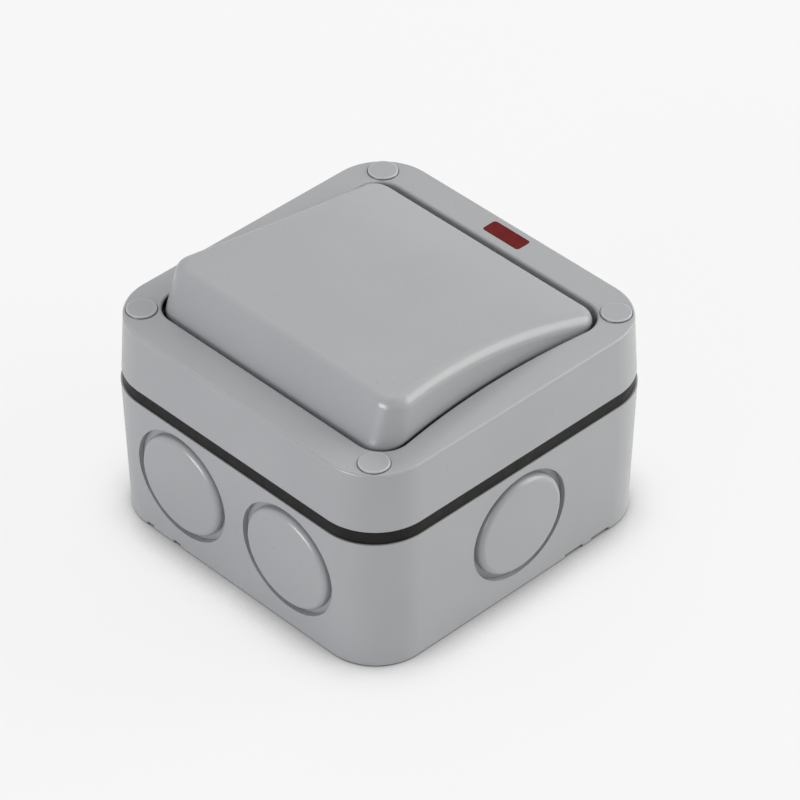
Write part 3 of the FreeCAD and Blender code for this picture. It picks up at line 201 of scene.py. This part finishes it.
CLOUDS, CLOUD_CHANGE = (38, 3), 2
SPECKS, SPECK_CHANGE = (2600, 1), -26
SHEEN, SHEEN_CHANGE = (420, 2), 0.015
GRAIN, GRAIN_STRENGTH, GRAIN_DEPTH = (5200, 2, 0.6), 0.02, 0.0002
SINKS, SINK_STRENGTH, SINK_DEPTH = (55, 2), 0.06, 0.0006

# The first two: painted highlight on each screw cap's rounded edge and painted shade down its side.
RIM_HIGHLIGHT_CHANGE, SIDE_SHADE_CHANGE = 18, -50
RUBBER_CHANGE, DUST_CHANGE = 6, 70
METAL_CHANGE, METAL_SHEEN_CHANGE = -12, 0.07

GREY, GREY_ROUGHNESS = (167, 169, 172), 0.25
BLACK = (24, 23, 22)
SLEEVE_WHITE = (214, 213, 206)
MODULE_WHITE = (224, 223, 218)
RED_DARK, RED_LIGHT = (98, 12, 10), (114, 22, 19)
GLASS_DARK, GLASS_LIGHT = (236, 214, 205), (245, 228, 220)
STEEL, BRASS, SILVER = (202, 203, 205), (214, 180, 108), (222, 222, 220)

CAP_RADIUS = 0.0035


def plastic(name, levels, roughness):
    """Moulded plastic: faint clouds and sinks, fine grain, sparse dark specks, and painted shade that darkens
    narrow gaps.
    """
    shader = Shader(name)
    base = shader.vary(CLOUDS, srgb(levels, -CLOUD_CHANGE), srgb(levels, CLOUD_CHANGE))
    base = shader.mix(shader.dots(SPECKS, 0.75, 0.79), base, srgb(levels, SPECK_CHANGE))
    # Painted shade: the colour is multiplied down to near black in gaps and corners narrower than GAP_REACH.
    base = shader.mix(1.0, base, shader.ramp(shader.occlusion(GAP_REACH), GAP_SHADE_TONES), "MULTIPLY")
    grain = shader.bump(GRAIN, GRAIN_STRENGTH, GRAIN_DEPTH)
    shader.set(Base_Color=base, Specular_IOR_Level=0.5,
               Roughness=shader.vary(SHEEN, roughness - SHEEN_CHANGE, roughness + SHEEN_CHANGE),
               Normal=shader.bump(SINKS, SINK_STRENGTH, SINK_DEPTH, grain))
    return shader


def cap_plastic(name, levels, roughness):
    """The housing's plastic with a painted highlight on each cap's rounded edge and painted shade down its
    side.
    """
    shader = plastic(name, levels, roughness)
    place = shader.nodes.new("ShaderNodeSeparateXYZ")
    shader.feed(place.inputs["Vector"], shader.position)
    squares = []
    for axis in "XY":
        across = shader.math("SUBTRACT", shader.math("ABSOLUTE", place.outputs[axis]), CAP_PLACE)
        squares.append(shader.math("MULTIPLY", across, across))
    radius = shader.math("DIVIDE", shader.math("SQRT", shader.math("ADD", *squares)), CAP_RADIUS)
    # Painted highlight on the cap's rounded edge.
    rim_highlight = shader.ramp(radius, [(0.84, 0.0), (0.90, 1.0), (0.955, 1.0), (0.975, 0.0)])
    # Painted shade down the cap's side, in the gap around it.
    side = shader.ramp(radius, [(0.965, 0.0), (0.985, 1.0)])
    base = shader.mix(rim_highlight, shader.source("Base Color"), srgb(levels, RIM_HIGHLIGHT_CHANGE))
    shader.set(Base_Color=shader.mix(side, base, srgb(levels, SIDE_SHADE_CHANGE)))
    return shader


def rubber(name, levels):
    """Black rubber with pale specks of dust."""
    shader = Shader(name)
    dark, light = srgb(levels, -RUBBER_CHANGE), srgb(levels, RUBBER_CHANGE)
    base = shader.ramp(shader.noise(300, 4), [(0.3, dark), (0.75, light)])
    base = shader.mix(shader.dots((2300, 2, 0.6), 0.70, 0.78), base, srgb(levels, DUST_CHANGE))
    shader.set(Base_Color=base, Specular_IOR_Level=0.16, Roughness=shader.vary((700, 3), 0.34, 0.5),
               Normal=shader.bump((900, 3, 0.6), 0.25, 0.0002))
    return shader


def window_plastic(name):
    """Dark red plastic of the window."""
    shader = Shader(name)
    shader.set(Base_Color=shader.vary((240, 3), srgb(RED_DARK), srgb(RED_LIGHT)), Specular_IOR_Level=0.08,
               Roughness=shader.vary((500, 2), 0.26, 0.34), Normal=shader.bump((260, 2), 0.1, 0.0003))
    return shader


def metal(name, levels, roughness):
    """Plated or plain metal with fine marks."""
    shader = Shader(name)
    shader.set(Base_Color=shader.vary((500, 3), srgb(levels, METAL_CHANGE), srgb(levels)), Metallic=1.0,
               Roughness=shader.vary((1400, 3), roughness - METAL_SHEEN_CHANGE, roughness + METAL_SHEEN_CHANGE),
               Normal=shader.bump((1800, 3), 0.15, 0.0001))
    return shader


def glass(name):
    """Clear glass of the lamp behind the window, with a warm tint."""
    shader = Shader(name)
    shader.set(Base_Color=shader.vary((400, 2), srgb(GLASS_DARK), srgb(GLASS_LIGHT)), IOR=1.46,
               Roughness=shader.vary((600, 2), 0.04, 0.1), Transmission_Weight=0.9)
    return shader


# Floor, world and lamps

FLOOR_REACH = 6.0
# Half width and corner radius of the opening under the switch, 3 mm inside the box's outline
OPENING, OPENING_CORNER, CORNER_STEPS = 0.0407, 0.0108, 8
FLOOR_DARK, FLOOR_LIGHT = 0.90, 0.915
# Share of the painted contact shadow in what the camera sees of the floor; the rest is the lit floor itself
CONTACT_SHARE = 0.85
CONTACT_REACH = 0.013
CONTACT_SHADOW_TONES = [(0.15, 0.02), (0.4, 0.26), (0.5, 0.40), (0.59, 0.61), (0.71, 0.83), (0.85, 0.915),
                 (0.98, 0.945)]

WHITE = (1.0, 1.0, 1.0)
WORLD_LIGHT, WORLD_SEEN = 0.383, 0.92

# Name, azimuth, elevation, distance, size, power, colour
LAMPS = [
    ("side", 145, 21, 1.2, (0.98, 0.84), 9.3, (1.0, 1.0, 0.955)),
    ("back", -175, 62, 1.2, (1.50, 0.90), 3.13, (1.0, 1.0, 0.98)),
    ("left", -80, 62, 1.2, (1.30, 1.00), 2.82, (1.0, 0.99, 1.0)),
    ("front", -3, 15, 1.2, (0.50, 0.50), 4.64, (1.0, 0.99, 1.0)),
]
GLINT = ("glint", 1, 17, 1.2, (0.90, 0.60), 7.5, WHITE)


def opening_outline():
    """Rounded square, anticlockwise."""
    reach = OPENING - OPENING_CORNER
    points = []
    for quarter, (x, y) in enumerate(((1, 1), (-1, 1), (-1, -1), (1, -1))):
        for step in range(CORNER_STEPS + 1):
            angle = math.radians(90 * (quarter + step / CORNER_STEPS))
            points.append(Vector((x * reach, y * reach, 0))
                          + OPENING_CORNER * Vector((math.cos(angle), math.sin(angle), 0)))
    return points


def add_floor():
    """Pale one-sided sheet that keeps the switch's shadow and, for the camera, has a painted contact shadow, a
    soft dark line around it.
    """
    inner = opening_outline()
    count = len(inner)
    outer = [point.normalized() * FLOOR_REACH for point in inner]
    faces = [(i, count + i, count + (i + 1) % count, (i + 1) % count) for i in range(count)]
    mesh = bpy.data.meshes.new("floor")
    mesh.from_pydata(inner + outer, [], faces)
    floor = add_object("floor", mesh)

    shader = Shader("floor")
    shader.set(Base_Color=shader.vary((3, 2), FLOOR_DARK, FLOOR_LIGHT), Roughness=0.9, Specular_IOR_Level=0.1)
    # Painted contact shadow: an emission that darkens with occlusion near the switch, seen by camera rays only.
    contact = shader.nodes.new("ShaderNodeEmission")
    shader.feed(contact.inputs["Color"], shader.ramp(shader.occlusion(CONTACT_REACH), CONTACT_SHADOW_TONES))
    seen = shader.math("MULTIPLY", shader.ray("Is Camera Ray"), CONTACT_SHARE)
    above = shader.join(seen, shader.principled.outputs["BSDF"], contact.outputs["Emission"])
    clear = shader.nodes.new("ShaderNodeBsdfTransparent").outputs["BSDF"]
    below = shader.nodes.new("ShaderNodeNewGeometry").outputs["Backfacing"]
    shader.feed(shader.surface, shader.join(below, above, clear))
    mesh.materials.append(shader.material)


def add_world():
    """White world: dim as a light, nearly white where it is seen, reflected or seen through glass."""
    world = bpy.data.worlds.new("world")
    bpy.context.scene.world = world
    tree = Tree(world)
    background = tree.nodes["Background"]
    seen = tree.math("MAXIMUM", tree.ray("Is Camera Ray"), tree.ray("Is Glossy Ray"))
    seen = tree.math("MAXIMUM", seen, tree.ray("Is Transmission Ray"))
    level = tree.nodes.new("ShaderNodeMapRange")
    tree.feed(level.inputs["Value"], seen)
    tree.feed(level.inputs["To Min"], WORLD_LIGHT)
    tree.feed(level.inputs["To Max"], WORLD_SEEN)
    tree.feed(background.inputs["Color"], WHITE)
    tree.feed(background.inputs["Strength"], level.outputs["Result"])


def add_lamp(name, azimuth, elevation, distance, size, power, colour):
    """Rectangular area lamp that points at the object."""
    back = direction(azimuth, elevation)
    data = bpy.data.lights.new(name, "AREA")
    data.shape = "RECTANGLE"
    data.size, data.size_y = size
    data.energy = power
    data.color = colour
    lamp = add_object(name, data)
    lamp.location = TARGET + back * distance
    lamp.rotation_euler = back.to_track_quat("Z", "Y").to_euler()
    return lamp


# The scene

SHADERS = {
    "housing_grey": plastic("housing_grey", GREY, GREY_ROUGHNESS),
    "seal_black": rubber("seal_black", BLACK),
    "window_red": window_plastic("window_red"),
    "lamp_glass": glass("lamp_glass"),
    "lead_sleeve": plastic("lead_sleeve", SLEEVE_WHITE, 0.45),
    "module_white": plastic("module_white", MODULE_WHITE, 0.4),
    "steel": metal("steel", STEEL, 0.3),
    "brass": metal("brass", BRASS, 0.28),
    "contact_silver": metal("contact_silver", SILVER, 0.24),
}
for part in frame["record"]["subparts"]:
    materials = NODES[part["node"]].data.materials
    materials.clear()
    materials.append(SHADERS[part["material_slot"]].material)

CAP_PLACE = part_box("screw_caps")[1][0] - CAP_RADIUS
NODES["screw_caps"].data.materials[0] = cap_plastic("cap_grey", GREY, GREY_ROUGHNESS).material

bpy.context.scene.view_settings.view_transform = "Standard"
add_camera()
add_floor()
add_world()
for lamp in LAMPS:
    add_lamp(*lamp)
# The glint is seen in reflections only.
add_lamp(*GLINT).visible_diffuse = False
